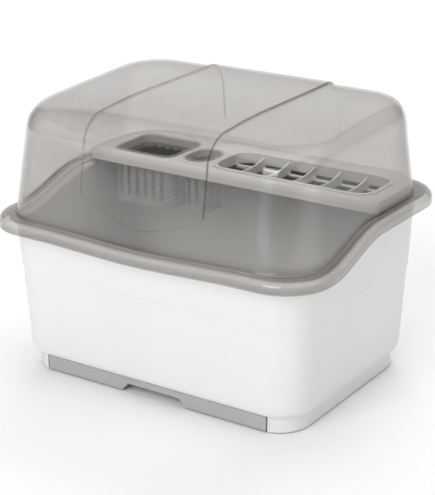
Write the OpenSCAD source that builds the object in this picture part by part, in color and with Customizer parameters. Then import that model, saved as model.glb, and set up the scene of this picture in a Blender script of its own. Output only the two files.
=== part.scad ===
// Two-tier dish box: a tapered tub with a swept rim, a domed see-through lid on
// two rear hinges, an upper shelf with hanging cups and a bowl insert, a lower
// tier with a plate rack, and a drip-tray drawer in the plinth.
// Millimetres. +X to the right, +Y to the back, +Z up, the floor is z = 0.

/* [Overall] */
// Width over the lid's skirt
body_w = 520; // [512:1:530]
// Depth over the lid's skirt, without the hinges
body_d = 402; // [396:1:410]
// Height of the tub's rim over the back half
rim_back_z = 258; // [256:0.5:259]
// Height of the tub's rim at the front
rim_front_z = 228; // [222:1:234]
// How much lower the front rim is in its middle
rim_dip = 5; // [0:0.5:8]

/* [Tub] */
// Height of the faint step that runs round the wall
step_z = 153; // [130:1:175]
// How far the wall stands proud above the step
step_out = 0.8; // [0.4:0.1:1.2]
// Length of a drain slot in the floor
drain_len = 44; // [30:1:56]
// Width of a drain slot in the floor
drain_w = 7; // [4:0.5:10]

/* [Lid] */
// Wall of the lid
lid_t = 2.5; // [2:0.1:3]
// Height of the skirt below the rim
skirt_h = 14; // [12:0.5:14]
// Radius of the rolled edge between the lid's flange and its skirt
roll_r = 10; // [9:0.5:10.5]
// Height of the lid's top at its middle
dome_top = 388; // [380:1:396]
// Rise of the lid's top towards the back, per millimetre
dome_tilt = 0.05; // [0:0.01:0.06]
// How far the lid's top is crowned above its ends
dome_crown = 7.7; // [4:0.1:9]
// Half width of the raised band over the lid
band_half = 98; // [86:1:110]
// How proud the band stands
band_h = 3; // [1:0.5:4]

/* [Drawer] */
// Width of the drawer's front
drawer_w = 362; // [350:1:363]
// Top of the drawer's front
drawer_top = 23.2; // [22.6:0.1:24]
// Width of the finger notch at its lower edge
notch_w = 104; // [80:1:120]
// Height of the finger notch
notch_h = 11; // [9:0.5:12]

/* [Shelf] */
// Front edge of the shelf, from the tub's middle
shelf_front = 25; // [20:1:27]
// Height of the shelf's top
shelf_top = 276; // [274:0.5:280]
// Depth of the hanging cutlery cups
cup_h = 80; // [60:1:110]
// Pitch of the fins between bowls
fin_pitch = 42; // [40:1:44]

/* [Lower tier] */
// Pitch of the pegs between plates
peg_pitch = 28; // [24:1:29]
// Height of a peg above its base
peg_h = 60; // [40:1:80]

/* [Hinges] */
// Distance of each hinge from the middle
hinge_x = 120; // [80:1:150]
// Radius of a hinge pin
pin_r = 2.5; // [2:0.1:3]
// Running clearance of the pin in the lid's knuckles
pin_gap = 0.05; // [0.02:0.01:0.09]

/* [Hidden] */
$fn = 48;
hw = body_w / 2;
hd = body_d / 2;
hinge_y = hd + 7;
hinge_z = rim_back_z - 20;
knuckle_r = 6;
// the hinges stand out at the back, so the middle of the whole lies behind the tub's
y_mid = (hinge_y + knuckle_r - hd) / 2;
tub_z = 25;
floor_z = 28;
// screw posts and foot pads
post_x = 194;
post_y = 130;
// cutlery openings and the bowl slot in the shelf: [x0, x1, y0, y1, corner radius]
cup_a = [-211, -108, 42, 134, 18];
cup_b = [-97, -54, 52, 114, 20];
slot = [-40, 215, 42, 132, 26];
grid_z = 40;

white = [0.94, 0.94, 0.93];
grey = [0.66, 0.66, 0.66];
smoke = [0.60, 0.58, 0.56, 0.45];
frost = [0.86, 0.87, 0.87, 0.8];
steel = [0.75, 0.76, 0.78];
rubber = [0.25, 0.25, 0.26];

// ---------------------------------------------------------------- functions
function lerp(a, b, t) = a + (b - a) * t;
function smooth(a, b, v) = let (u = min(max((v - a) / (b - a), 0), 1)) u * u * (3 - 2 * u);

// height of the rim: level front, swept up to a level back, with a shallow dip in front
function rim_z(x, y) = lerp(rim_front_z, rim_back_z, smooth(-125, 5, y))
    - rim_dip * (1 + cos(180 * min(abs(x) / 170, 1))) / 2 * (1 - smooth(-175, -120, y));

// a ring of n_ring points round a rounded rectangle, counter-clockwise from the right
n_corner = 6;
n_side = 12;
side_x = [-140, -band_half - 1, -band_half + 4, -50, 0, 50, band_half - 4, band_half + 1, 140];
n_front = len(side_x) + 1;
n_ring = 2 * n_side + 2 * n_front + 4 * n_corner;
function quarter(c, r, a0) = [for (i = [0 : n_corner - 1]) let (a = a0 + 90 * i / n_corner)
    c + r * [cos(a), sin(a)]];
function ring(w, yf, yb, r) = concat(
    [for (i = [0 : n_side - 1]) [w, lerp(yf + r, yb - r, i / n_side)]],
    quarter([w - r, yb - r], r, 0),
    [[w - r, yb]], [for (i = [len(side_x) - 1 : -1 : 0]) [side_x[i], yb]],
    quarter([-w + r, yb - r], r, 90),
    [for (i = [0 : n_side - 1]) [-w, lerp(yb - r, yf + r, i / n_side)]],
    quarter([-w + r, yf + r], r, 180),
    [[-w + r, yf]], [for (x = side_x) [x, yf]],
    quarter([w - r, yf + r], r, 270));
function even(w, d, r) = ring(w, -d, d, r);

// a ring at one height, at a height against the rim, and part of the way from that to z1
function at_z(q, z) = [for (p = q) [p[0], p[1], z]];
function at_rim(q, dz) = [for (p = q) [p[0], p[1], rim_z(p[0], p[1]) + dz]];
function at_mix(q, dz, z1, t) = [for (p = q) [p[0], p[1], lerp(rim_z(p[0], p[1]) + dz, z1, t)]];
// front points follow qa and back points qb, with heights a and b against the rim
function at_two(qa, a, qb, b) = [for (i = [0 : n_ring - 1])
    let (k = smooth(-10, 36, qa[i][1]), x = lerp(qa[i][0], qb[i][0], k), y = lerp(qa[i][1], qb[i][1], k))
    [x, y, rim_z(x, y) + lerp(a, b, k)]];

// polygon with rounded corners; pts are [x, y, radius]
function unit(v) = v / norm(v);
function corner(p0, p1, p2, r, n) = r <= 0 ? [p1] :
    let (a = unit(p0 - p1), b = unit(p2 - p1), ang = acos(a * b),
         s = p1 + a * (r / tan(ang / 2)), e = p1 + b * (r / tan(ang / 2)),
         c = p1 + unit(a + b) * (r / sin(ang / 2)),
         a0 = atan2(s[1] - c[1], s[0] - c[0]), a1 = atan2(e[1] - c[1], e[0] - c[0]),
         d = (a1 - a0 + 540) % 360 - 180)
    [for (i = [0 : n]) c + r * [cos(a0 + d * i / n), sin(a0 + d * i / n)]];
function rounded(pts, n = 6) = let (m = len(pts)) [for (i = [0 : m - 1])
    each corner([pts[(i + m - 1) % m][0], pts[(i + m - 1) % m][1]], [pts[i][0], pts[i][1]],
                [pts[(i + 1) % m][0], pts[(i + 1) % m][1]], pts[i][2], n)];
function rrect(x0, x1, y0, y1, r, n = 6) =
    rounded([[x0, y0, r], [x1, y0, r], [x1, y1, r], [x0, y1, r]], n);
// the same, grown by g
function grow(b, g, n = 6) = rrect(b[0] - g, b[1] + g, b[2] - g, b[3] + g, b[4] + g, n);

// ------------------------------------------------------------------ helpers
module place() { translate([0, -y_mid, 0]) children(); }
module slab(pts, z0, z1) { translate([0, 0, z0]) linear_extrude(z1 - z0) polygon(pts); }
module block(x0, x1, y0, y1, z0, z1) { translate([x0, y0, z0]) cube([x1 - x0, y1 - y0, z1 - z0]); }
module corners() { for (sx = [-1, 1], sy = [-1, 1]) translate([sx * post_x, sy * post_y, 0]) children(); }

// walls between a stack of rings
function walls(m) = [for (k = [0 : m - 2], i = [0 : n_ring - 1], h = [0, 1])
    let (j = (i + 1) % n_ring, a = k * n_ring + i, b = k * n_ring + j,
         c = (k + 1) * n_ring + j, d = (k + 1) * n_ring + i)
    h == 0 ? [a, d, c] : [a, c, b]];
function flip(f) = [for (i = [len(f) - 1 : -1 : 0]) f[i]];
// a cap in strips from front to back, so that the band can stand proud of it
i_b = n_side + n_corner;
i_bl = i_b + n_front;
i_f = 2 * n_side + 3 * n_corner + n_front;
i_fr = i_f + n_front;
function front_i(j) = j < n_front ? i_f + j : i_fr;
function back_i(j) = j == 0 ? i_bl : i_b + n_front - j;
function strip_cap(o) = concat(
    [for (j = [0 : n_front - 1]) [o + front_i(j), o + front_i(j + 1), o + back_i(j + 1), o + back_i(j)]],
    [[for (i = [i_bl : i_f]) o + i]],
    [concat([for (i = [i_fr : n_ring - 1]) o + i], [for (i = [0 : i_b]) o + i])]);
// the same in triangles for a cap that isn't flat, with a ladder over each end
half_end = n_side / 2 + n_corner;
function ladder(o, i0) = [for (k = [0 : half_end - 1], h = [0, 1])
    let (a = o + (i0 + k) % n_ring, b = o + (i0 + k + 1) % n_ring,
         c = o + (i0 + 2 * half_end - k - 1) % n_ring, d = o + (i0 + 2 * half_end - k) % n_ring)
    if (h == 0 || k < half_end - 1) h == 0 ? [a, b, d] : [b, c, d]];
function crowned_cap(o) = concat(
    [for (j = [0 : n_front - 1], h = [0, 1])
        h == 0 ? [o + front_i(j), o + front_i(j + 1), o + back_i(j + 1)] : [o + front_i(j), o + back_i(j + 1), o + back_i(j)]],
    ladder(o, i_bl), ladder(o, i_fr));
module loft(rings, crowned) {
    m = len(rings);
    lo = crowned ? crowned_cap(0) : strip_cap(0);
    hi = crowned ? crowned_cap((m - 1) * n_ring) : strip_cap((m - 1) * n_ring);
    polyhedron(points = [for (r = rings) each r],
               faces = concat(walls(m), lo, [for (f = hi) flip(f)]));
}

// ---------------------------------------------------------------------- tub
tub_rings = concat(
    [for (a = [0, 30, 60, 90]) at_z(even(hw - 39 + 6.5 * sin(a), hd - 43.5 + 8 * sin(a), 46), 42 - 17 * cos(a))],
    [at_z(even(hw - 27.2, hd - 27.7, 50), step_z - 0.6),
     at_z(even(hw - 27.2 + step_out, hd - 27.7 + step_out, 50), step_z + 0.6),
     at_rim(even(hw - 23, hd - 21.8, 52), -12),
     at_rim(ring(hw - 19.5, -hd + 19, hd - 20, 54), -7),
     at_rim(ring(hw - 16.5, -hd + 17, hd - 20, 55), -3),
     // the rim is wider at the back, where it carries the hinges
     at_rim(ring(hw - 13, -hd + 14, hd - 6, 57), -3),
     at_rim(ring(hw - 13, -hd + 14, hd - 6, 57), -1.4),
     at_rim(ring(hw - 14.5, -hd + 15.5, hd - 9.5, 56), 0),
     at_rim(ring(hw - 20.5, -hd + 23, hd - 24, 52), 0),
     // a ledge for the shelf round the back half only
     at_two(even(hw - 21, hd - 23.5, 51.5), -3, even(hw - 22, hd - 24, 50), -5),
     at_two(even(hw - 23, hd - 24, 50), -7, even(hw - 28, hd - 28.5, 46), -5),
     at_two(even(hw - 25.5, hd - 24.4, 49), -11, even(hw - 28, hd - 28.5, 46), -8),
     at_rim(even(hw - 26, hd - 24.7, 49), -14),
     at_z(even(hw - 29.8, hd - 30.2, 47), step_z),
     at_z(even(hw - 35.4, hd - 38.4, 43), 44),
     at_z(even(hw - 37.5, hd - 41, 41.5), 33),
     at_z(even(hw - 44, hd - 47.5, 38), floor_z)]);

module tub() {
    color(white) place() difference() {
        union() {
            loft(tub_rings, false);
            corners() translate([0, 0, 8.2]) cylinder(r = 4, h = tub_z - 8.2 + 0.5);
        }
        corners() translate([0, 0, 8]) cylinder(r = 1.2, h = 11);
        for (x = [-150 : 75 : 150], y = [-105 : 70 : 105])
            slab(rrect(x - drain_len / 2, x + drain_len / 2, y - drain_w / 2, y + drain_w / 2, drain_w / 2 - 0.01, 4),
                 tub_z - 1, floor_z + 1);
    }
}

// ------------------------------------------------------------------- plinth
module base_plinth() {
    px = hw - 40.5;
    py = hd - 45;
    bay = drawer_w / 2 + 2;
    color(white) place() difference() {
        union() {
            difference() {
                slab(rrect(-px, px, -py, py, 46, 10), 1.5, tub_z);
                slab(rrect(-px + 3, px - 3, -py + 3, py - 3, 43, 10), 0, tub_z + 1);
            }
            for (s = [-1, 1]) {
                // walls of the drawer bay, each with a ledge for the tray's lip
                translate([s * (bay + 1.5) - 1.5, -py, 1.5]) cube([3, 2 * py - 1, tub_z - 1.5]);
                translate([s * (bay - 2) - 2.5, -py + 11, 15.5]) cube([5, 2 * py - 14, 2.5]);
            }
            corners() translate([0, 0, 1.5]) cylinder(r = 9, h = tub_z - 1.5);
        }
        block(-bay, bay, -py - 1, -py + 5, 0, tub_z + 1);
        corners() {
            translate([0, 0, 1]) cylinder(r = 3.6, h = 3.4);
            cylinder(r = 1.7, h = 20);
            translate([0, 0, 8]) cylinder(r = 4.2, h = 20);
        }
    }
}

module plinth_screws() {
    color(steel) place() corners() difference() {
        union() {
            translate([0, 0, 2]) cylinder(r = 3.2, h = 2.4);
            translate([0, 0, 4.4]) cylinder(r = 1.2, h = 13.6);
        }
        for (a = [0, 90]) rotate(a) translate([-2, -0.4, 1.5]) cube([4, 0.8, 1.5]);
    }
}

module foot_pads() {
    color(rubber) place() corners() cylinder(r = 8.5, h = 1.5);
}

// --------------------------------------------------------------- drip tray
module notch_shape(g) {
    polygon(rounded([[-notch_w / 2 - g, -2, 0], [notch_w / 2 + g, -2, 0], [notch_w / 2 + g, 2.6, 0],
                     [notch_w / 2 - 9 + g, 2.6 + notch_h + g, 5], [-notch_w / 2 + 9 - g, 2.6 + notch_h + g, 5],
                     [-notch_w / 2 - g, 2.6, 0]], 5));
}
module drip_tray() {
    fy = -hd + 44.5;
    dx = drawer_w / 2;
    color(grey) place() difference() {
        union() {
            // front panel
            translate([0, fy + 8, 0]) rotate([90, 0, 0]) linear_extrude(8)
                polygon(rounded([[-dx, 2.6, 1.5], [dx, 2.6, 1.5], [dx, drawer_top, 1.5], [-dx, drawer_top, 1.5]], 4));
            // tray
            difference() {
                slab(rounded([[-dx + 5, fy + 7, 0], [dx - 5, fy + 7, 0], [dx - 5, 140, 14], [-dx + 5, 140, 14]]), 2.6, 20.6);
                slab(rounded([[-dx + 7, fy + 9.5, 3], [dx - 7, fy + 9.5, 3], [dx - 7, 138, 12], [-dx + 7, 138, 12]]), 4.6, 22);
            }
            // lips that hang on the ledges of the plinth
            for (s = [-1, 1]) block(s > 0 ? dx - 6 : -dx, s > 0 ? dx : -dx + 6, fy + 7, 124, 18.4, 20.6);
            // cover of the finger pocket
            block(-notch_w / 2 - 2, notch_w / 2 + 2, fy + 7, fy + 31, 2.6, 2.6 + notch_h + 2.6);
        }
        translate([0, fy + 28.5, 0]) rotate([90, 0, 0]) linear_extrude(30) notch_shape(0);
    }
}

// ------------------------------------------------------------- lower tier
module drain_grid() {
    gx = hw - 48;
    gy = hd - 51;
    color(white) place() {
        difference() {
            slab(rrect(-gx, gx, -gy, gy, 36, 8), grid_z, grid_z + 3);
            for (i = [-6.5 : 1 : 6.5], j = [-1.5 : 1 : 1.5])
                slab(rrect(i * 28 - 9, i * 28 + 9, j * 68 - 29, j * 68 + 29, 5, 3), grid_z - 1, grid_z + 4);
        }
        for (x = [-168, 0, 168], y = [-119, 119]) translate([x, y, floor_z]) cylinder(r = 5, h = grid_z - floor_z + 0.2);
    }
}

peg_x = [92, 178];
peg_y = [for (i = [-4.5 : 1 : 4.5]) i * peg_pitch];
module plate_rack_base() {
    color(white) place() difference() {
        slab(rrect(74, 196, -142, 142, 10), grid_z + 3, grid_z + 7);
        for (y = [-88, 0, 88]) slab(rrect(111, 159, y - 38, y + 38, 8), grid_z + 2, grid_z + 8);
        for (x = peg_x, y = peg_y) translate([x, y, grid_z + 4]) cylinder(r = 2, h = 5);
    }
}
module plate_pegs() {
    color(white) place() for (x = peg_x, y = peg_y) translate([x, y, grid_z + 4]) {
        cylinder(r = 2, h = 3.2);
        translate([0, 0, 3]) rotate_extrude() polygon(concat(
            [[0, 0], [4, 0], [3.2, 6]],
            [for (a = [0 : 15 : 75]) [2.6 * cos(a), peg_h - 2.6 + 2.6 * sin(a)]], [[0, peg_h]]));
    }
}

// ------------------------------------------------------------- upper shelf
function shelf_plan(w, yf, yb, rf, rb, n) = rounded([[-w, yf, rf], [w, yf, rf], [w, yb, rb], [-w, yb, rb]], n);
module upper_shelf() {
    w = hw - 21.5;
    yb = hd - 31;
    lip_z = rim_back_z - 5;
    color(white) place() {
        difference() {
            // the front edge is rolled over
            intersection() {
                slab(shelf_plan(w, shelf_front, yb, 6, 66, 10), shelf_top - 16, shelf_top);
                translate([-w - 1, 0, 0]) rotate([90, 0, 90]) linear_extrude(2 * w + 2)
                    polygon(concat([[shelf_front - 1, lip_z], [yb + 1, lip_z], [yb + 1, shelf_top + 1], [shelf_front + 9, shelf_top + 1]],
                                   [for (a = [90 : 11.25 : 180]) [shelf_front + 9 + 9.05 * cos(a), shelf_top - 9 + 9.05 * sin(a)]],
                                   [[shelf_front - 1, shelf_top - 10]]));
            }
            // hollow below the top skin
            slab(shelf_plan(w - 3, shelf_front + 5, yb - 3, 4, 63, 10), lip_z, shelf_top - 3);
            for (b = [cup_a, cup_b, slot]) slab(grow(b, 0), lip_z, shelf_top + 1);
        }
        // wall and lip that rest on the tub's ledge
        difference() {
            union() {
                slab(shelf_plan(w - 1.5, shelf_front + 20, yb - 0.5, 14, 64.5, 10), lip_z, shelf_top - 13);
                slab(shelf_plan(w - 1.2, shelf_front + 19, yb + 4.6, 14, 62, 10), lip_z, lip_z + 4.5);
            }
            slab(shelf_plan(w - 4.5, shelf_front, yb - 3.5, 14, 61.5, 10), lip_z - 1, shelf_top - 12);
        }
        // collars that stiffen the openings
        for (b = [cup_a, cup_b, slot]) difference() {
            slab(grow(b, 2.5), shelf_top - 12, shelf_top - 2);
            slab(grow(b, 0), shelf_top - 13, shelf_top);
        }
    }
}

// insert for the bowls: a frame in the slot, two rails below and curved fins between the bowls
fin_x = [for (i = [0 : 4]) 178 - i * fin_pitch];
module bowl_rack() {
    x0 = slot[0];
    x1 = slot[1];
    y0 = slot[2];
    y1 = slot[3];
    color(white) place() {
        difference() {
            union() {
                slab(grow(slot, -0.6), shelf_top - 14, shelf_top + 0.5);
                slab(grow(slot, 3), shelf_top, shelf_top + 2);
            }
            slab(grow(slot, -3.2), shelf_top - 15, shelf_top + 3);
        }
        for (y = [y0 + 18, y1 - 24]) block(x0 + 3, x1 - 3, y, y + 6, shelf_top - 18, shelf_top - 13.5);
        for (x = fin_x) translate([x - 1.5, 0, 0]) rotate([90, 0, 90]) linear_extrude(3)
            polygon(concat([[y0 + 2, shelf_top - 14], [y1 - 18, shelf_top - 14]],
                           [for (a = [0 : 22.5 : 90]) [y1 - 21 + 3 * cos(a), shelf_top + 1 + 3 * sin(a)]],
                           [for (i = [7 : -1 : 0]) let (u = i / 8)
                               [lerp(y0 + 3, y1 - 21, u), shelf_top + 1 + 3 * u - 18 * u * (1 - u)]],
                           [[y0 + 2, shelf_top + 1]]));
    }
}

// a slotted cup that hangs in an opening by its rim; nx and ny are its slots a side
module cup(b, nx, ny) {
    z0 = shelf_top - cup_h;
    x0 = b[0] + 8;
    x1 = b[1] - 8;
    y0 = b[2] + 8;
    y1 = b[3] - 8;
    difference() {
        union() {
            slab(grow(b, -0.6), z0, shelf_top + 0.5);
            slab(grow(b, 3), shelf_top, shelf_top + 2);
        }
        slab(grow(b, -2.6), z0 + 2, shelf_top + 3);
        for (i = [0 : nx - 1]) let (x = lerp(x0, x1, (i + 0.5) / nx)) {
            block(x - 3, x + 3, b[2] - 1, b[3] + 1, z0 + 12, shelf_top - 16);
            block(x - 2.5, x + 2.5, y0 + 2, y1 - 2, z0 - 1, z0 + 3);
        }
        for (i = [0 : ny - 1]) let (y = lerp(y0, y1, (i + 0.5) / ny))
            block(b[0] - 1, b[1] + 1, y - 3, y + 3, z0 + 12, shelf_top - 16);
    }
}
module cutlery_cup_large() { color(frost) place() cup(cup_a, 6, 5); }
module cutlery_cup_small() { color(frost) place() cup(cup_b, 2, 3); }

// ------------------------------------------------------------------- hinges
module barrel(x0, x1, r) { translate([x0, hinge_y, hinge_z]) rotate([0, 90, 0]) cylinder(r = r, h = x1 - x0); }
module hinge_bracket(c) {
    color(white) place() difference() {
        union() {
            barrel(c - 10.7, c + 10.7, knuckle_r);
            // arm below the skirt, and the block under the flange that carries it
            block(c - 10.7, c + 10.7, hinge_y - 20, hinge_y, hinge_z - 5.5, hinge_z + 3.5);
            block(c - 18, c + 18, hinge_y - 24, hinge_y - 16, hinge_z - 5.5, rim_back_z - 3);
        }
        barrel(c - 30, c + 30, pin_r);
    }
}
module hinge_bracket_left() { hinge_bracket(-hinge_x); }
module hinge_bracket_right() { hinge_bracket(hinge_x); }

module lid_hinge(c) {
    color(white) place() difference() {
        union() {
            block(c - 22, c + 22, hd, hd + 3, hinge_z + 6, hinge_z + 13.5);
            for (s = [-1, 1]) {
                barrel(s > 0 ? c + 11 : c - 22, s > 0 ? c + 22 : c - 11, knuckle_r);
                block(s > 0 ? c + 11 : c - 22, s > 0 ? c + 22 : c - 11, hd, hinge_y, hinge_z, hinge_z + 12);
            }
        }
        barrel(c - 30, c + 30, pin_r + pin_gap);
        for (s = [-1, 1]) translate([c + s * 6, hd - 1, hinge_z + 10]) rotate([-90, 0, 0]) cylinder(r = 1.5, h = 6);
    }
}
module lid_hinge_left() { lid_hinge(-hinge_x); }
module lid_hinge_right() { lid_hinge(hinge_x); }

module hinge_pin(c) { color(steel) place() barrel(c - 23, c + 23, pin_r); }
module hinge_pin_left() { hinge_pin(-hinge_x); }
module hinge_pin_right() { hinge_pin(hinge_x); }

module lid_hinge_rivets() {
    color(steel) place() for (c = [-hinge_x, hinge_x], s = [-1, 1])
        translate([c + s * 6, hd, hinge_z + 10]) rotate([-90, 0, 0]) {
            cylinder(r = 1.5, h = 3.2);
            translate([0, 0, 3]) cylinder(r = 3, h = 1.2);
        }
}

// ---------------------------------------------------------------------- lid
// outside of the dome as [half width, front, back, corner radius], g inside it
function dome_wall(t, g) = ring(lerp(hw - 15, hw - 29.7, t) - g, -lerp(hd - 16, hd - 34, t) + g,
                                lerp(hd - 24, hd - 31.3, t) - g, lerp(74.8, 60, t) - g);
function dome_shoulder(c, g) = ring(lerp(hw - 45, hw - 29.7, c) - g, -lerp(hd - 76, hd - 34, c) + g,
                                    lerp(hd - 66, hd - 31.3, c) - g, lerp(55, 60, c) - g);
// the top tilts up to the back, and is crowned most over its front half
function crown(x, y) = dome_crown * (1 - pow(min(abs(x) / (hw - 45), 1), 3))
    * (1 - 0.95 * smooth(-80, 160, y) - 0.28 * (1 - smooth(-140, -70, y)));
function top_z(x, y) = dome_top + dome_tilt * y + crown(x, y);
shoulder_z = dome_top - 41;
plan = even(hw, hd, 68);
function on_band(i) = let (x = plan[i][0], m = (i >= i_b && i <= i_bl) || (i >= i_f && i <= i_fr))
    m && abs(x) < band_half ? 1 : 0;
// lift the points of the band by band_h, outwards by c and upwards by s
function banded(q, c, s) = [for (i = [0 : n_ring - 1]) let (k = on_band(i) * band_h)
    [q[i][0], q[i][1] + (q[i][1] > 0 ? 1 : -1) * k * c, q[i][2] + k * s]];
function shell(g) = concat(
    [for (t = [0.08, 0.2]) at_mix(dome_wall(t, g), 2.8, shoulder_z, t)],
    [for (t = [0.42, 0.7, 1]) banded(at_mix(dome_wall(t, g), 2.8, shoulder_z, t), 1, 0)],
    [for (a = [18 : 18 : 90]) banded([for (p = dome_shoulder(cos(a), g))
        [p[0], p[1], lerp(shoulder_z, top_z(p[0], p[1]) - g, sin(a))]], cos(a), sin(a))],
    [for (k = [[75, 106, 91, 30], [95, 141, 121, 15]])
        banded([for (p = ring(hw - k[0], -hd + k[1], hd - k[2], k[3])) [p[0], p[1], top_z(p[0], p[1]) - g]], 0, 1)]);
// the rolled edge of the flange, at an angle from the skirt and a radius
function rolled(a, r) = let (g = roll_r - r * cos(a)) at_rim(even(hw - g, hd - g, 68 - g), 2.8 - roll_r + r * sin(a));
lid_rings = concat(
    flip(shell(lid_t)),
    [at_rim(dome_wall(0, lid_t), 0.7)],
    [for (a = [90 : -22.5 : 0]) rolled(a, roll_r - 2.5)],
    [at_rim(even(hw - 2, hd - 2, 66), -skirt_h),
     at_rim(even(hw - 0.4, hd - 0.4, 67.6), -skirt_h),
     at_rim(even(hw, hd, 68), -skirt_h + 1)],
    [for (a = [0 : 18 : 90]) rolled(a, roll_r)],
    [at_rim(ring(hw - 12.5, -hd + 13, hd - 21, 70), 2.8)],
    shell(0));
module lid_dome() { color(smoke) place() loft(lid_rings, true); }

tub();
base_plinth();
plinth_screws();
foot_pads();
drip_tray();
drain_grid();
plate_rack_base();
plate_pegs();
upper_shelf();
bowl_rack();
cutlery_cup_large();
cutlery_cup_small();
hinge_bracket_left();
hinge_bracket_right();
hinge_pin_left();
hinge_pin_right();
lid_dome();
lid_hinge_left();
lid_hinge_right();
lid_hinge_rivets();
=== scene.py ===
import math
import bpy
import bmesh
import numpy as np
from mathutils import Vector, Matrix


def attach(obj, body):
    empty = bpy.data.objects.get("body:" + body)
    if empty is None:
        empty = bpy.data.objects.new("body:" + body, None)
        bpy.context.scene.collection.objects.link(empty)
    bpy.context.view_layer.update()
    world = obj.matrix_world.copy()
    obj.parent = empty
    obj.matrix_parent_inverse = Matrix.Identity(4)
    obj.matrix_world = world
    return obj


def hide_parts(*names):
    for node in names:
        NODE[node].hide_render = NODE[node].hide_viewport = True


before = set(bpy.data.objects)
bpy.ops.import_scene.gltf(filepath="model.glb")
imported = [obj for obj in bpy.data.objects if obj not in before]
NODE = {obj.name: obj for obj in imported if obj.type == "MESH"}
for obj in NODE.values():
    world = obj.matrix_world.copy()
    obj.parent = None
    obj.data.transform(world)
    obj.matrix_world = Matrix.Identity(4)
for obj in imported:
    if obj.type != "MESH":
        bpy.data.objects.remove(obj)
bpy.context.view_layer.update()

COL = bpy.context.scene.collection

# Everything below is worked out in millimetres about the tub's middle. The frame's
# origin lies 6.5 mm further back, because the hinges stand out behind.
MM = 0.001
Y_MID = 6.5
HW, HD = 260.0, 201.0            # half width and half depth over the lid's skirt
RIM_F, RIM_B, RIM_DIP = 228.0, 258.0, 5.0
STEP_Z = 153.0
LID_T = 2.5
TOP_Z, TILT, SHOULDER_Z = 388.0, 0.05, 347.0
CROWN = 7.7
BAND_HALF, BAND_H = 98.0, 3.0
SHELF_TOP = 276.0


def lerp(a, b, t):
    return a + (b - a) * t


def smooth(a, b, v):
    u = np.clip((np.asarray(v, float) - a) / (b - a), 0.0, 1.0)
    return u * u * (3 - 2 * u)


def top_z(x, y):
    """The lid's top tilts up to the back, and is crowned most over its front half."""
    across = 1 - np.minimum(np.abs(x) / (HW - 45), 1.0) ** 3
    along = 1 - 0.95 * smooth(-80, 160, y) - 0.28 * (1 - smooth(-140, -70, y))
    return TOP_Z + TILT * y + CROWN * across * along


# ------------------------------------------------------------------ materials
def new_mat(name):
    m = bpy.data.materials.new(name)
    m.use_nodes = True
    nt = m.node_tree
    nt.nodes.clear()
    out = nt.nodes.new("ShaderNodeOutputMaterial")
    return m, nt, out


def node(nt, kind, **vals):
    n = nt.nodes.new(kind)
    for k, v in vals.items():
        if k.startswith("in_"):
            key = k[3:]
            key = int(key) if key.isdigit() else key.replace("_", " ")
            n.inputs[key].default_value = v
        else:
            setattr(n, k, v)
    return n


def noise(nt, coord, scale, detail=2.0, rough=0.5):
    n = node(nt, "ShaderNodeTexNoise")
    n.inputs["Scale"].default_value = scale
    n.inputs["Detail"].default_value = detail
    n.inputs["Roughness"].default_value = rough
    nt.links.new(coord, n.inputs["Vector"])
    return n.outputs["Fac"]


def remap(nt, fac, lo, hi, a=0.3, b=0.7):
    n = node(nt, "ShaderNodeMapRange")
    n.inputs["From Min"].default_value = a
    n.inputs["From Max"].default_value = b
    n.inputs["To Min"].default_value = lo
    n.inputs["To Max"].default_value = hi
    nt.links.new(fac, n.inputs["Value"])
    return n.outputs["Result"]


def ramp2(nt, fac, c0, c1, p0=0.3, p1=0.7):
    n = node(nt, "ShaderNodeValToRGB")
    n.color_ramp.elements[0].position = p0
    n.color_ramp.elements[1].position = p1
    n.color_ramp.elements[0].color = (*c0, 1)
    n.color_ramp.elements[1].color = (*c1, 1)
    nt.links.new(fac, n.inputs["Fac"])
    return n.outputs["Color"]


def bump(nt, height, strength, distance, normal=None):
    n = node(nt, "ShaderNodeBump")
    n.inputs["Strength"].default_value = strength
    n.inputs["Distance"].default_value = distance
    nt.links.new(height, n.inputs["Height"])
    if normal is not None:
        nt.links.new(normal, n.inputs["Normal"])
    return n.outputs["Normal"]


def plastic(name, c0, c1, r0, r1, grain, strength, spec=0.5, coat=0.0):
    """A moulded plastic: slow colour drift, flow-dependent gloss and a fine moulded grain."""
    m, nt, out = new_mat(name)
    tc = node(nt, "ShaderNodeTexCoord").outputs["Object"]
    p = node(nt, "ShaderNodeBsdfPrincipled")
    nt.links.new(ramp2(nt, noise(nt, tc, 7.0, 3.0), c0, c1), p.inputs["Base Color"])
    nt.links.new(remap(nt, noise(nt, tc, 38.0, 4.0, 0.6), r0, r1), p.inputs["Roughness"])
    n1 = bump(nt, noise(nt, tc, grain, 2.0), strength, 0.0003)
    n2 = bump(nt, noise(nt, tc, 16.0, 1.0), 0.05, 0.0015, n1)
    nt.links.new(n2, p.inputs["Normal"])
    p.inputs["Specular IOR Level"].default_value = spec
    p.inputs["IOR"].default_value = 1.5
    if coat:
        p.inputs["Coat Weight"].default_value = coat
        p.inputs["Coat Roughness"].default_value = 0.12
    nt.links.new(p.outputs["BSDF"], out.inputs["Surface"])
    return m


def sheet_gloss(nt, f0):
    """Share of light a thin sheet mirrors: the same from inside as from outside."""
    facing = node(nt, "ShaderNodeLayerWeight")
    facing.inputs["Blend"].default_value = 0.5
    p = node(nt, "ShaderNodeMath", operation="POWER")
    nt.links.new(facing.outputs["Facing"], p.inputs[0])
    p.inputs[1].default_value = 5.0
    m = node(nt, "ShaderNodeMath", operation="MULTIPLY_ADD")
    nt.links.new(p.outputs[0], m.inputs[0])
    m.inputs[1].default_value = 1.0 - f0
    m.inputs[2].default_value = f0
    return m.outputs[0]


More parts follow.
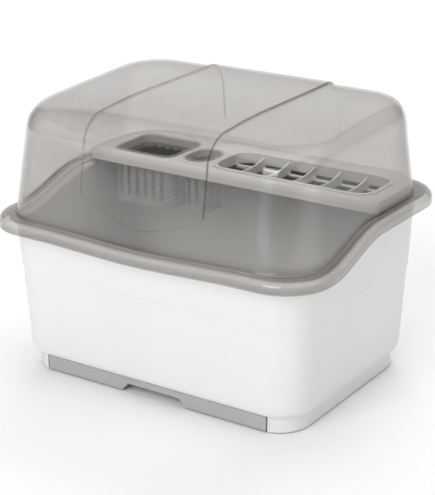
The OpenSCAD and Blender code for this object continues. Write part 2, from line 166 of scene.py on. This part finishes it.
def make_lid_material():
    """Smoky see-through plastic: a tinted film with a glossy skin and a faint haze. One
    mesh attribute paints shade into the film: dark lines along the band's edges and a darkened
    skirt, flange and dome foot, standing in for the shaded tub seen through them. A second
    attribute paints a lighter haze, a painted highlight, on the rolled edge and the skirt's lower edge."""
    m, nt, out = new_mat("smoky_clear_lid")
    tc = node(nt, "ShaderNodeTexCoord").outputs["Object"]
    edge = node(nt, "ShaderNodeAttribute", attribute_name="edge").outputs["Fac"]
    drift = noise(nt, tc, 5.0, 2.0)
    tint = ramp2(nt, drift, (0.886, 0.877, 0.869), (0.898, 0.890, 0.883))
    # seen at a slant, the light has further to go through the plastic
    slant = node(nt, "ShaderNodeLayerWeight")
    slant.inputs["Blend"].default_value = 0.5
    far = node(nt, "ShaderNodeMapRange", interpolation_type="SMOOTHSTEP")
    far.inputs["From Min"].default_value = 0.20
    far.inputs["From Max"].default_value = 0.60
    nt.links.new(slant.outputs["Facing"], far.inputs["Value"])
    long_way = node(nt, "ShaderNodeMix", data_type="RGBA")
    nt.links.new(far.outputs["Result"], long_way.inputs["Factor"])
    nt.links.new(tint, long_way.inputs["A"])
    long_way.inputs["B"].default_value = (0.80, 0.79, 0.782, 1)
    # painted shade: the edge attribute pulls the film's tint towards this dark colour
    painted_shade_mix = node(nt, "ShaderNodeMix", data_type="RGBA")
    nt.links.new(edge, painted_shade_mix.inputs["Factor"])
    nt.links.new(long_way.outputs["Result"], painted_shade_mix.inputs["A"])
    painted_shade_mix.inputs["B"].default_value = (0.30, 0.285, 0.275, 1)
    film = node(nt, "ShaderNodeBsdfTransparent")
    nt.links.new(painted_shade_mix.outputs["Result"], film.inputs["Color"])
    nrm = bump(nt, noise(nt, tc, 30.0, 1.0), 0.04, 0.002)
    gloss = node(nt, "ShaderNodeBsdfGlossy")
    gloss.inputs["Color"].default_value = (1, 1, 1, 1)
    nt.links.new(remap(nt, noise(nt, tc, 60.0, 4.0, 0.65), 0.03, 0.09), gloss.inputs["Roughness"])
    nt.links.new(nrm, gloss.inputs["Normal"])
    skin = node(nt, "ShaderNodeMixShader")
    nt.links.new(sheet_gloss(nt, 0.04), skin.inputs["Fac"])
    nt.links.new(film.outputs["BSDF"], skin.inputs[1])
    nt.links.new(gloss.outputs["BSDF"], skin.inputs[2])
    # the plastic's own faint haze varies with noise; the second mesh attribute adds more of it, a painted highlight on
    # the rolled edge and the skirt's lower edge
    haze_and_painted_highlight = node(nt, "ShaderNodeBsdfDiffuse")
    haze_and_painted_highlight.inputs["Color"].default_value = (0.52, 0.505, 0.49, 1)
    haze_and_highlight_veil = node(nt, "ShaderNodeMixShader")
    painted_highlight = node(nt, "ShaderNodeAttribute", attribute_name="painted_highlight").outputs["Fac"]
    haze_and_highlight_share = node(nt, "ShaderNodeMath", operation="ADD")
    nt.links.new(remap(nt, noise(nt, tc, 11.0, 5.0, 0.6), 0.022, 0.040), haze_and_highlight_share.inputs[0])
    nt.links.new(painted_highlight, haze_and_highlight_share.inputs[1])
    nt.links.new(haze_and_highlight_share.outputs[0], haze_and_highlight_veil.inputs["Fac"])
    nt.links.new(skin.outputs["Shader"], haze_and_highlight_veil.inputs[1])
    nt.links.new(haze_and_painted_highlight.outputs["BSDF"], haze_and_highlight_veil.inputs[2])
    nt.links.new(haze_and_highlight_veil.outputs["Shader"], out.inputs["Surface"])
    return m


def make_frosted():
    m, nt, out = new_mat("frosted_cup")
    tc = node(nt, "ShaderNodeTexCoord").outputs["Object"]
    p = node(nt, "ShaderNodeBsdfPrincipled")
    nt.links.new(ramp2(nt, noise(nt, tc, 14.0, 3.0), (0.74, 0.745, 0.745), (0.80, 0.805, 0.805)), p.inputs["Base Color"])
    nt.links.new(remap(nt, noise(nt, tc, 60.0, 3.0), 0.22, 0.36), p.inputs["Roughness"])
    nt.links.new(bump(nt, noise(nt, tc, 1800.0, 2.0), 0.06, 0.0003), p.inputs["Normal"])
    p.inputs["Alpha"].default_value = 0.24
    nt.links.new(p.outputs["BSDF"], out.inputs["Surface"])
    return m


def make_steel():
    m, nt, out = new_mat("plated_steel")
    tc = node(nt, "ShaderNodeTexCoord").outputs["Object"]
    p = node(nt, "ShaderNodeBsdfPrincipled")
    p.inputs["Metallic"].default_value = 1.0
    nt.links.new(ramp2(nt, noise(nt, tc, 220.0, 4.0), (0.55, 0.55, 0.57), (0.68, 0.68, 0.69)), p.inputs["Base Color"])
    nt.links.new(remap(nt, noise(nt, tc, 500.0, 3.0), 0.22, 0.38), p.inputs["Roughness"])
    nt.links.new(bump(nt, noise(nt, tc, 2600.0, 2.0), 0.08, 0.0002), p.inputs["Normal"])
    nt.links.new(p.outputs["BSDF"], out.inputs["Surface"])
    return m


WHITE = plastic("white_polypropylene", (0.845, 0.845, 0.84), (0.865, 0.865, 0.861), 0.30, 0.42, 1500.0, 0.05, 0.45)
WHITE_IN = plastic("white_insert", (0.83, 0.83, 0.825), (0.855, 0.855, 0.85), 0.34, 0.46, 1500.0, 0.05, 0.45)
GREY = plastic("grey_tray", (0.44, 0.44, 0.442), (0.47, 0.47, 0.471), 0.42, 0.58, 2600.0, 0.16, 0.4)
RUBBER = plastic("foot_rubber", (0.05, 0.05, 0.052), (0.08, 0.08, 0.083), 0.7, 0.88, 900.0, 0.3, 0.3)
LID = make_lid_material()
FROST = make_frosted()
STEEL = make_steel()


# -------------------------------------------------------------------- helpers
def finish_mesh(name, me, body, mat, nodes, sharp=None):
    ob = bpy.data.objects.new(name, me)
    COL.objects.link(ob)
    me.materials.clear()
    me.materials.append(mat)
    me.polygons.foreach_set("use_smooth", np.ones(len(me.polygons), bool))
    if sharp:
        me.set_sharp_from_angle(angle=math.radians(sharp))
    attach(ob, body)
    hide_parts(*nodes)
    return ob


def refine(name, body, mat, bevel=0.5, segs=2, angle=38.0):
    """The piece as made, with its moulded edges rounded and its corners shaded smooth."""
    src = NODE[name]
    me = src.data.copy()
    bm = bmesh.new()
    bm.from_mesh(me)
    bmesh.ops.remove_doubles(bm, verts=bm.verts, dist=2e-6)
    bmesh.ops.dissolve_limit(bm, angle_limit=math.radians(0.6), use_dissolve_boundaries=False,
                             verts=bm.verts, edges=bm.edges)
    bmesh.ops.recalc_face_normals(bm, faces=bm.faces)
    bm.to_mesh(me)
    bm.free()
    for a in ("custom_normal", "sharp_edge", "sharp_face"):
        if a in me.attributes:
            me.attributes.remove(me.attributes[a])
    tmp = bpy.data.objects.new(name + "_tmp", me)
    COL.objects.link(tmp)
    b = tmp.modifiers.new("edge", "BEVEL")
    b.limit_method = "ANGLE"
    b.angle_limit = math.radians(angle)
    b.width = bevel * MM
    b.segments = segs
    b.use_clamp_overlap = False
    b.miter_outer = "MITER_SHARP"
    me.polygons.foreach_set("use_smooth", np.ones(len(me.polygons), bool))
    w = tmp.modifiers.new("flat", "WEIGHTED_NORMAL")
    w.keep_sharp = True
    w.weight = 80
    dg = bpy.context.evaluated_depsgraph_get()
    done = bpy.data.meshes.new_from_object(tmp.evaluated_get(dg), depsgraph=dg)
    bpy.data.objects.remove(tmp)
    done.name = name + "_mesh"
    return finish_mesh(name + "_piece", done, body, mat, [name])


class Ring:
    """Points round a rounded rectangle, counter-clockwise from the right-hand side."""

    def __init__(self, nc, ny, xs):
        self.nc, self.ny, self.xs = nc, ny, np.asarray(xs, float)
        self.nx = len(self.xs) + 1
        self.n = 2 * ny + 2 * self.nx + 4 * nc
        self.ib = ny + nc
        self.ibl = self.ib + self.nx
        self.if_ = 2 * ny + 3 * nc + self.nx
        self.ifr = self.if_ + self.nx

    @staticmethod
    def rim(x, y):
        sweep = lerp(RIM_F, RIM_B, smooth(-125, 5, y))
        dip = (1 + np.cos(np.pi * np.minimum(np.abs(x) / 170, 1))) / 2 * (1 - smooth(-175, -120, y))
        return sweep - RIM_DIP * dip

    def __call__(self, w, yf, yb, r):
        t = np.arange(self.ny) / self.ny
        a = np.radians(90 * np.arange(self.nc) / self.nc)

        def arc(cx, cy, a0):
            return np.c_[cx + r * np.cos(a + a0), cy + r * np.sin(a + a0)]

        one = np.ones(self.ny)
        xs = self.xs
        return np.concatenate([
            np.c_[w * one, lerp(yf + r, yb - r, t)], arc(w - r, yb - r, 0),
            [[w - r, yb]], np.c_[xs[::-1], yb * np.ones(len(xs))], arc(-w + r, yb - r, math.pi / 2),
            np.c_[-w * one, lerp(yb - r, yf + r, t)], arc(-w + r, yf + r, math.pi),
            [[-w + r, yf]], np.c_[xs, yf * np.ones(len(xs))], arc(w - r, yf + r, 1.5 * math.pi)])

    def even(self, w, d, r):
        return self(w, -d, d, r)

    def at(self, q, a, b=1.0):
        """A ring at the height a plus b times the rim's height there."""
        return np.c_[q, a + b * self.rim(q[:, 0], q[:, 1])]

    def cap_grid(self, ring3, cols):
        """A grid of points over the plan of a ring: rows from front to back, columns from
        left to right. cols, meant as how many columns lie between the side wall and the corner, is not used."""
        n = self.n
        left = np.array([self.if_ - k for k in range(self.if_ - self.ibl + 1)])          # front to back
        right = np.array([(self.ifr + k) % n for k in range(n - self.ifr + self.ib + 1)])  # front to back
        front = np.array(list(range(self.if_, self.ifr + 1)))                              # left to right
        back = np.array([self.ibl] + list(range(self.ib + self.nx - 1, self.ib - 1, -1)))
        rows = len(left)
        pl, pr, pf, pb = ring3[left], ring3[right], ring3[front], ring3[back]
        v = (pl[:, 1] - pl[0, 1]) / (pl[-1, 1] - pl[0, 1])
        mid = pf[None] + (pb - pf)[None] * v[:, None, None]     # rows x columns
        return left, right, front, back, pl, pr, mid, v, rows


def loft(rings, n):
    """Side walls of a stack of rings."""
    v = np.concatenate(rings)
    m = len(rings)
    k, i = np.meshgrid(np.arange(m - 1), np.arange(n), indexing="ij")
    j = (i + 1) % n
    f = np.stack([k * n + i, k * n + j, (k + 1) * n + j, (k + 1) * n + i], -1).reshape(-1, 4)
    return v, f


def to_mesh(name, v_mm, faces, weld=0.0):
    v = np.asarray(v_mm, float) * MM
    v[:, 1] -= Y_MID * MM
    me = bpy.data.meshes.new(name)
    me.from_pydata(v.tolist(), [], [list(map(int, f)) for f in faces])
    me.validate()
    if weld:
        bm = bmesh.new()
        bm.from_mesh(me)
        bmesh.ops.remove_doubles(bm, verts=bm.verts, dist=weld * MM)
        bmesh.ops.dissolve_degenerate(bm, dist=1e-7, edges=bm.edges)
        bmesh.ops.recalc_face_normals(bm, faces=bm.faces)
        bm.to_mesh(me)
        bm.free()
    return me


def rounded_profile(ctrl):
    """ctrl: rows of (half width, front, back, corner radius, A, B, fillet) with a point's
    height A + B times the rim's height. Each corner with a fillet becomes a short curve."""
    c = np.array([r[:6] for r in ctrl], float)
    fil = [r[6] for r in ctrl]

    def length(a, b):
        return math.hypot(np.abs(a[:3] - b[:3]).max(), (a[4] + 250 * a[5]) - (b[4] + 250 * b[5])) + 1e-9

    out = []
    for i, p in enumerate(c):
        if fil[i] <= 0 or i in (0, len(c) - 1):
            out.append(p)
            continue
        a, b = c[i - 1], c[i + 1]
        s = p + (a - p) * min(0.48, fil[i] / length(a, p))
        e = p + (b - p) * min(0.48, fil[i] / length(b, p))
        k = 6 if fil[i] >= 1.5 else 4
        for t in np.linspace(0, 1, k + 1):
            out.append((1 - t) ** 2 * s + 2 * t * (1 - t) * p + t * t * e)
    return out


# ------------------------------------------------------------------------ tub
def rounded_slot(x0, x1, y0, y1, z0, z1, n=8):
    r = (y1 - y0) / 2
    pts = [(x1 - r + r * math.cos(a), (y0 + y1) / 2 + r * math.sin(a)) for a in np.linspace(-math.pi / 2, math.pi / 2, n + 1)]
    pts += [(x0 + r + r * math.cos(a), (y0 + y1) / 2 + r * math.sin(a)) for a in np.linspace(math.pi / 2, 1.5 * math.pi, n + 1)]
    m = len(pts)
    v = [(x, y, z0) for x, y in pts] + [(x, y, z1) for x, y in pts]
    f = [list(range(m))[::-1], list(range(m, 2 * m))] + [[i, (i + 1) % m, m + (i + 1) % m, m + i] for i in range(m)]
    return v, f


def make_tub():
    R = Ring(16, 56, np.arange(-150, 151, 6.0))

    def row(ow, od, r, a, b, fillet):
        return HW - ow, -HD + od, HD - od, r, a, b, fillet

    outside = [row(39 - 6.5 * math.sin(a), 43.5 - 8 * math.sin(a), 46, 42 - 17 * math.cos(a), 0, 0)
               for a in np.radians(np.linspace(0, 90, 11))]
    outside += [
        row(27.2, 27.7, 50, STEP_Z - 0.6, 0, 0.5),
        row(26.4, 26.9, 50, STEP_Z + 0.6, 0, 0.5),
        row(23, 21.8, 52, -12, 1, 3),
        (HW - 19.5, -HD + 19, HD - 20, 54, -7, 1, 2),
        (HW - 16.5, -HD + 17, HD - 20, 55, -3, 1, 0.7),
        # the rim is wider at the back, where it carries the hinges
        (HW - 13, -HD + 14, HD - 6, 57, -3, 1, 0.7),
        (HW - 13, -HD + 14, HD - 6, 57, -1.4, 1, 0.7),
        (HW - 14.5, -HD + 15.5, HD - 9.5, 56, 0, 1, 0.8),
        (HW - 20.5, -HD + 23, HD - 24, 52, 0, 1, 1.2)]
    # a ledge for the shelf round the back half only
    plain = [row(21, 23.5, 51.5, -3, 1, 1.2), row(23, 24, 50, -7, 1, 1.6), row(25.5, 24.4, 49, -11, 1, 1.6)]
    ledge = [row(22, 24, 50, -5, 1, 1.2), row(28, 28.5, 46, -5, 1, 1.6), row(28, 28.5, 46, -8, 1, 1.6)]
    inside = [
        row(26, 24.7, 49, -14, 1, 2.5),
        row(29.8, 30.2, 47, STEP_Z, 0, 4),
        row(35.4, 38.4, 43, 44, 0, 9),
        row(37.5, 41, 41.5, 33, 0, 4),
        row(44, 47.5, 38, 28, 0, 0)]
    rings = []
    for p, q in zip(rounded_profile(outside + plain + inside), rounded_profile(outside + ledge + inside)):
        p, q = (R.at(R(*u[:4]), u[4], u[5]) for u in (p, q))
        rings.append(lerp(p, q, smooth(-10, 36, p[:, 1])[:, None]))
    v, f = loft(rings, R.n)
    faces = [list(x) for x in f]
    last = (len(rings) - 1) * R.n

    def strips(o, flip):
        back = [R.ibl] + list(range(R.ib + R.nx - 1, R.ib - 1, -1))
        front = list(range(R.if_, R.ifr + 1))
        polys = [[o + front[j], o + front[j + 1], o + back[j + 1], o + back[j]] for j in range(len(front) - 1)]
        polys.append([o + i for i in range(R.ibl, R.if_ + 1)])
        polys.append([o + i for i in range(R.ifr, R.n)] + [o + i for i in range(0, R.ib + 1)])
        return [p[::-1] for p in polys] if flip else polys

    faces += strips(0, True) + strips(last, False)
    me = to_mesh("tub_mesh", v, faces)
    ob = bpy.data.objects.new("tub_tmp", me)
    COL.objects.link(ob)
    bm = bmesh.new()
    bm.from_mesh(me)
    bmesh.ops.recalc_face_normals(bm, faces=bm.faces)
    bm.to_mesh(me)
    bm.free()
    cv, cf = [], []
    for x in range(-150, 151, 75):
        for y in range(-105, 106, 70):
            a, b = rounded_slot(x - 22, x + 22, y - 3.5, y + 3.5, 23, 30)
            cf += [[i + len(cv) for i in p] for p in b]
            cv += a
    cut = bpy.data.objects.new("drain_cut", to_mesh("drain_cut", cv, cf))
    COL.objects.link(cut)
    # the posts that take the plinth's screws
    pv, pf = [], []
    k = 32
    lathe = [(1.2, 19.0), (1.2, 8.5), (1.5, 8.2), (3.7, 8.2), (4.0, 8.5), (4.0, 25.6)]
    for x, y in ((194, 130), (-194, 130), (194, -130), (-194, -130)):
        o = len(pv)
        for r, z in lathe:
            pv += [(x + r * math.cos(2 * math.pi * i / k), y + r * math.sin(2 * math.pi * i / k), z) for i in range(k)]
        for j in range(len(lathe) - 1):
            pf += [[o + j * k + i, o + j * k + (i + 1) % k, o + (j + 1) * k + (i + 1) % k, o + (j + 1) * k + i] for i in range(k)]
        pf += [[o + i for i in range(k)], [o + (len(lathe) - 1) * k + i for i in range(k)]]
    posts = bpy.data.objects.new("posts", to_mesh("posts", pv, pf, 0.001))
    COL.objects.link(posts)
    for kind, tool in (("DIFFERENCE", cut), ("UNION", posts)):
        mod = ob.modifiers.new(kind, "BOOLEAN")
        mod.operation = kind
        mod.solver = "EXACT"
        mod.object = tool
    dg = bpy.context.evaluated_depsgraph_get()
    done = bpy.data.meshes.new_from_object(ob.evaluated_get(dg), depsgraph=dg)
    bpy.data.objects.remove(ob)
    bpy.data.objects.remove(cut)
    bpy.data.objects.remove(posts)
    done.name = "tub_mesh"
    return finish_mesh("tub_shell", done, "tub", WHITE, ["tub"], 40)


# ------------------------------------------------------------------------ lid
def make_lid():
    near = np.concatenate([[92.0, 94.5], np.arange(96.0, 100.1, 0.4), [101.5, 103.5]])
    xs = np.concatenate([-np.arange(150, 105, -5.5), -near[::-1], np.arange(-86, 87, 5.375), near, np.arange(106, 151, 5.5)])
    R = Ring(16, 52, xs)
    n = R.n
    side = np.zeros(n)                       # -1 on the front, 1 on the back, 0 elsewhere
    side[R.ib:R.ibl + 1] = 1
    side[R.if_:R.ifr + 1] = -1

    def wall(t, g):
        return R(lerp(HW - 15, HW - 29.7, t) - g, -lerp(HD - 16, HD - 34, t) + g,
                 lerp(HD - 24, HD - 31.3, t) - g, lerp(74.8, 60, t) - g)

    def shoulder(c, g):
        return R(lerp(HW - 45, HW - 29.7, c) - g, -lerp(HD - 76, HD - 34, c) + g,
                 lerp(HD - 66, HD - 31.3, c) - g, lerp(55, 60, c) - g)

    def lift(p, c, s, z_end=True):
        """Raises the band, outwards by c and upwards by s, inside its edges. Its lower end
        is a shallow rounded V on the front and on the back."""
        x = p[:, 0]
        d = BAND_HALF - np.abs(x)
        painted_line_weight = np.ones(n)
        if z_end:
            vee = np.sqrt(64 + (0.37 * x) ** 2) - 8
            d2 = 0.94 * (p[:, 2] - np.where(side < 0, 252.5 + vee, 281 + 0.8 * vee))
            r = 8.0
            both = (d < r) & (d2 < r)
            # the painted dark line is faded out at the band's lower V end, where that edge catches the light
            painted_line_weight = np.clip((d2 - d) / 10.0, 0.0, 1.0)
            d = np.where(both, r - np.hypot(r - d, r - d2), np.minimum(d, d2))
        k = smooth(-0.8, 0.8, d) * np.abs(side)
        # painted shade: a dark line along the band's edges, on the front and the back
        e = np.clip(1 - np.abs(d) / 1.1, 0, 1) * painted_line_weight * np.abs(side)
        q = p.copy()
        q[:, 1] += side * k * BAND_H * c
        q[:, 2] += k * BAND_H * s
        return q, e

    rings, edge, painted_highlight = [], [], []

    def add(p, e=0.0, m=0.0):
        rings.append(p)
        edge.append(np.broadcast_to(np.asarray(e, float), (n,)).copy())
        painted_highlight.append(np.full(n, m))

    ts = np.concatenate([np.linspace(0.05, 0.12, 3), np.arange(0.13, 0.50, 0.0068), np.linspace(0.51, 1, 18)])
    angs = np.radians(np.linspace(0, 90, 15))[1:]

    def dome(g):
        out = []
        for t in ts:
            q = wall(t, g)
            out.append(lift(R.at(q, lerp(2.8, SHOULDER_Z, t), 1 - t), 1, 0))
        for a in angs:
            c, s = math.cos(a), math.sin(a)
            q = shoulder(c, g)
            z = lerp(SHOULDER_Z, top_z(q[:, 0], q[:, 1]) - g, s)
            out.append(lift(np.c_[q, z], c, s, False))
        return out

    def bez(a, b, c, k, e0, e1):
        for t in np.linspace(0, 1, k + 1):
            add((1 - t) ** 2 * a + 2 * t * (1 - t) * b + t * t * c, lerp(e0, e1, t))

    inner = dome(LID_T)
    # painted shade: the inside carries a tenth of the band's dark edge lines, and its foot a faint darkening
    for p, e in inner[::-1]:
        add(p, e * 0.1)
    # foot of the inside, rounded into the underside of the flange
    base_in = R.at(wall(0, LID_T), 0.7)
    out_in = R(HW - 15 - LID_T + 2.2, -(HD - 16) + LID_T - 2.2, HD - 24 - LID_T + 2.2, 74.8 - LID_T + 2.2)
    bez(rings[-1] * 0.5 + base_in * 0.5, base_in, R.at(out_in, 0.6), 3, 0.1, 0.1)

    def even(off, dz, e=0.0, m=0.0):
        add(R.at(R.even(HW - off, HD - off, 68 - off), dz), e, m)

    def roll(r, a, e=0.0, m=0.0):
        even(10 - r * math.cos(math.radians(a)), -7.2 + r * math.sin(math.radians(a)), e, m)

    # painted shade: the skirt is darkened, most along the front, for the shaded tub wall behind it
    plan_y = R.even(HW, HD, 68)[:, 1]
    skirt_painted_shade = 0.16 + 0.31 * (1 - smooth(-185, -100, plan_y))
    # painted shade: the flange's flat and the dome's foot are darkened, more along the ends and the back, for the
    # shade under the flange
    flat_painted_shade = 0.32 + 0.18 * smooth(-185, -120, plan_y)
    foot_painted_shade = 0.14 + 0.40 * smooth(-185, -120, plan_y)
    # the inside of the rolled edge, faintly darkened with painted shade
    for a in np.linspace(90, 0, 9):
        roll(7.5, a, 0.08)
    # the skirt's lower edge: painted shade from the skirt's weight, and a painted highlight haze along the edge
    even(2.05, -12.9, 0.8 * skirt_painted_shade)
    even(1.9, -13.7, 0.2, 0.1)
    even(1.5, -14.0, 0.2, 0.2)
    even(0.7, -14.0, 0.2, 0.2)
    even(0.2, -13.7, 0.2, 0.2)
    even(0.0, -13.0, 0.5 * skirt_painted_shade, 0.18)
    even(0.0, -11.5, 0.9 * skirt_painted_shade, 0.06)
    even(0.0, -9.0, skirt_painted_shade, 0.04)
    # outer rolled edge: the painted shade fades from the skirt's onto the flange's, and the painted highlight haze
    # peaks halfway round the roll, on its ridge
    for a in np.linspace(0, 90, 16):
        e = lerp(lerp(skirt_painted_shade, 0.06, smooth(0, 38, a)), flat_painted_shade, smooth(50, 85, a))
        roll(10, a, e, 0.04 + 0.28 * math.sin(math.radians(2 * a)) ** 2)
    foot = wall(0, 0)
    spread = R(HW - 10.8, -HD + 11.5, HD - 19.5, 74)
    outer = dome(0)
    # painted shade runs from the flange's flat into the dome's foot and fades out a little way up the wall
    bez(R.at(spread, 2.8), R.at(foot, 2.8), outer[0][0], 6, flat_painted_shade, foot_painted_shade)
    for t, (p, e) in zip(ts[1:], outer[1:]):
        add(p, np.maximum(e, foot_painted_shade * (1 - smooth(0.05, 0.13, t))))
    for p, e in outer[len(ts):]:
        add(p, e)

    v, f = loft(rings, n)
    faces = [list(x) for x in f]
    painted_shade_vals = np.concatenate(edge)
    painted_highlight_vals = np.concatenate(painted_highlight)

    def cap(o, g, flip):
        """Fills a top ring with a grid that follows the band from front to back."""
        ring3 = rings[o]
        left = [R.if_ - k for k in range(R.if_ - R.ibl + 1)]
        right = [(R.ifr + k) % n for k in range(n - R.ifr + R.ib + 1)]
        front = list(range(R.if_, R.ifr + 1))
        back = [R.ibl] + list(range(R.ib + R.nx - 1, R.ib - 1, -1))
        pl, pr = ring3[left], ring3[right]
        yf, yb = ring3[front[0], 1], ring3[back[0], 1]
        rows = len(left)
        K = 8
        cols_x = list(ring3[front, 0])
        grid, band_line_shade = [], []
        for i in range(rows):
            u = (pl[i, 1] - pl[0, 1]) / (pl[-1, 1] - pl[0, 1])
            y = lerp(yf, yb, u)
            line = [(lerp(pl[i, 0], cols_x[0], k / K), y) for k in range(K)]
            line += [(x, y) for x in cols_x]
            line += [(lerp(cols_x[-1], pr[i, 0], k / K), y) for k in range(1, K + 1)]
            grid.append(line)
        gxy = np.array(grid)
        d = BAND_HALF - np.abs(gxy[..., 0])
        z = top_z(gxy[..., 0], gxy[..., 1]) - g + BAND_H * smooth(-0.8, 0.8, d)
        pts = np.concatenate([gxy, z[..., None]], -1)
        # the border of the grid is the ring itself
        nc = len(cols_x)
        for j in range(nc):
            pts[0, K + j] = ring3[front[j]]
            pts[-1, K + j] = ring3[back[j]]
        for i in range(rows):
            pts[i, 0] = ring3[left[i]]
            pts[i, -1] = ring3[right[i]]
        for j in range(K):
            pts[0, j] = ring3[front[0]]
            pts[-1, j] = ring3[back[0]]
            pts[0, K + nc + j] = ring3[front[-1]]
            pts[-1, K + nc + j] = ring3[back[-1]]
        return pts, np.clip(1 - np.abs(d) / 1.1, 0, 1)

    # painted shade: the band's dark edge lines carry on over the top, faintly on the inside
    for o, g, flip in ((0, LID_T, False), (len(rings) - 1, 0.0, True)):
        pts, band_line_shade = cap(o, g, flip)
        base = len(v)
        r_, c_ = pts.shape[:2]
        v = np.concatenate([v, pts.reshape(-1, 3)])
        painted_shade_vals = np.concatenate([painted_shade_vals, band_line_shade.reshape(-1) * (1.0 if flip else 0.1)])
        painted_highlight_vals = np.concatenate([painted_highlight_vals, np.zeros(r_ * c_)])
        for i in range(r_ - 1):
            for j in range(c_ - 1):
                q = [base + i * c_ + j, base + i * c_ + j + 1, base + (i + 1) * c_ + j + 1, base + (i + 1) * c_ + j]
                faces.append(q)
    me = bpy.data.meshes.new("lid_mesh")
    w = v * MM
    w[:, 1] -= Y_MID * MM
    me.from_pydata(w.tolist(), [], [list(map(int, q)) for q in faces])
    # stores the painted shade as the edge attribute and the painted highlight haze as the second attribute
    for key, val in (("edge", painted_shade_vals), ("painted_highlight", painted_highlight_vals)):
        me.attributes.new(key, "FLOAT", "POINT").data.foreach_set("value", val.astype(np.float32))
    bm = bmesh.new()
    bm.from_mesh(me)
    bmesh.ops.remove_doubles(bm, verts=bm.verts, dist=2e-6)
    bmesh.ops.dissolve_degenerate(bm, dist=1e-7, edges=bm.edges)
    bmesh.ops.recalc_face_normals(bm, faces=bm.faces)
    bm.to_mesh(me)
    bm.free()
    return finish_mesh("lid_shell", me, "lid", LID, ["lid_dome"])


make_tub()
make_lid()
refine("base_plinth", "tub", WHITE, 0.8, 3)
refine("drip_tray", "drawer", GREY, 0.7, 3)
refine("upper_shelf", "tub", WHITE_IN, 1.1, 3)
refine("bowl_rack", "tub", WHITE_IN, 0.6, 3)
refine("drain_grid", "tub", WHITE_IN, 0.5, 2)
refine("plate_rack_base", "tub", WHITE_IN, 0.6, 2)
refine("plate_pegs", "tub", WHITE_IN, 0.25, 2)
refine("cutlery_cup_large", "tub", FROST, 0.4, 2)
refine("cutlery_cup_small", "tub", FROST, 0.4, 2)
for s in ("left", "right"):
    refine("hinge_bracket_" + s, "tub", WHITE, 0.5, 2)
    refine("lid_hinge_" + s, "lid", WHITE, 0.5, 2)
    refine("hinge_pin_" + s, "tub", STEEL, 0.4, 2)
refine("lid_hinge_rivets", "lid", STEEL, 0.35, 3)
refine("plinth_screws", "tub", STEEL, 0.2, 2)
refine("foot_pads", "tub", RUBBER, 0.35, 2)

# ---------------------------------------------------------------- stage, light
def make_floor():
    me = bpy.data.meshes.new("floor")
    s, k = 9.0, 24
    v = [(-s + 2 * s * i / k, -s + 2 * s * j / k, 0.0) for j in range(k + 1) for i in range(k + 1)]
    f = [(j * (k + 1) + i, j * (k + 1) + i + 1, (j + 1) * (k + 1) + i + 1, (j + 1) * (k + 1) + i) for j in range(k) for i in range(k)]
    me.from_pydata(v, [], f)
    ob = bpy.data.objects.new("floor", me)
    COL.objects.link(ob)
    m, nt, out = new_mat("floor_paint")
    tc = node(nt, "ShaderNodeTexCoord").outputs["Object"]
    p = node(nt, "ShaderNodeBsdfPrincipled")
    nt.links.new(ramp2(nt, noise(nt, tc, 2.0, 2.0), (0.935, 0.935, 0.935), (0.95, 0.95, 0.95)), p.inputs["Base Color"])
    p.inputs["Roughness"].default_value = 0.85
    p.inputs["Specular IOR Level"].default_value = 0.1
    nt.links.new(p.outputs["BSDF"], out.inputs["Surface"])
    me.materials.append(m)


def area(name, loc, target, size, size_y, power, color=(1, 1, 1)):
    l = bpy.data.lights.new(name, "AREA")
    l.shape = "RECTANGLE"
    l.size, l.size_y, l.energy, l.color = size, size_y, power, color
    o = bpy.data.objects.new(name, l)
    COL.objects.link(o)
    o.location = loc
    o.rotation_euler = (Vector(target) - Vector(loc)).to_track_quat("-Z", "Y").to_euler()
    return o


make_floor()
area("key", (0.2, -2.7, 2.0), (0, 0, 0.2), 2.0, 1.8, 49)
area("side", (2.7, 0.1, 2.0), (0, 0, 0.2), 1.8, 1.8, 11)
area("top", (0.0, -0.2, 2.7), (0, 0, 0.2), 2.6, 2.2, 23)
wash = area("wash", (-0.8, 2.6, 3.2), (-0.8, 2.9, 0.0), 3.6, 2.6, 88)
wash.visible_glossy = False                  # it lights the floor and isn't mirrored in the lid
area("sky", (-1.9, 3.6, 1.9), (-0.2, 0.6, 0.5), 5.0, 2.6, 22)
area("strip", (-0.05, -2.8, 0.62), (0.0, 0.0, 0.4), 1.3, 1.1, 3.2, (0.86, 0.93, 1.0))
# the same wash on the other sides, turned away from the box
area("wash_right", (2.4, 0.0, 2.6), (7.0, 0.0, 0.0), 4.0, 1.6, 140)
area("wash_left", (-2.4, 0.0, 2.6), (-6.5, 0.0, 0.0), 4.0, 1.6, 150)
area("wash_front", (0.0, -3.6, 2.6), (0.0, -10.0, 0.0), 4.0, 1.6, 140)
world = bpy.data.worlds.new("studio")
bpy.context.scene.world = world
world.use_nodes = True
bg = world.node_tree.nodes["Background"]
bg.inputs["Color"].default_value = (1, 1, 1, 1)
bg.inputs["Strength"].default_value = 0.25

cam = bpy.data.cameras.new("camera")
cam.sensor_width = 36.0
cam.lens = 1562.75 * 36.0 / 495.0
cam.clip_end = 50
co = bpy.data.objects.new("camera", cam)
COL.objects.link(co)
co.location = (1.13594, -1.72542 - Y_MID * MM, 0.93176)
co.rotation_euler = Vector((-0.515316, 0.784814, -0.344262)).to_track_quat("-Z", "Y").to_euler()
sc = bpy.context.scene
sc.camera = co
sc.view_settings.view_transform = "Standard"
sc.cycles.max_bounces = 10
sc.cycles.transparent_max_bounces = 32
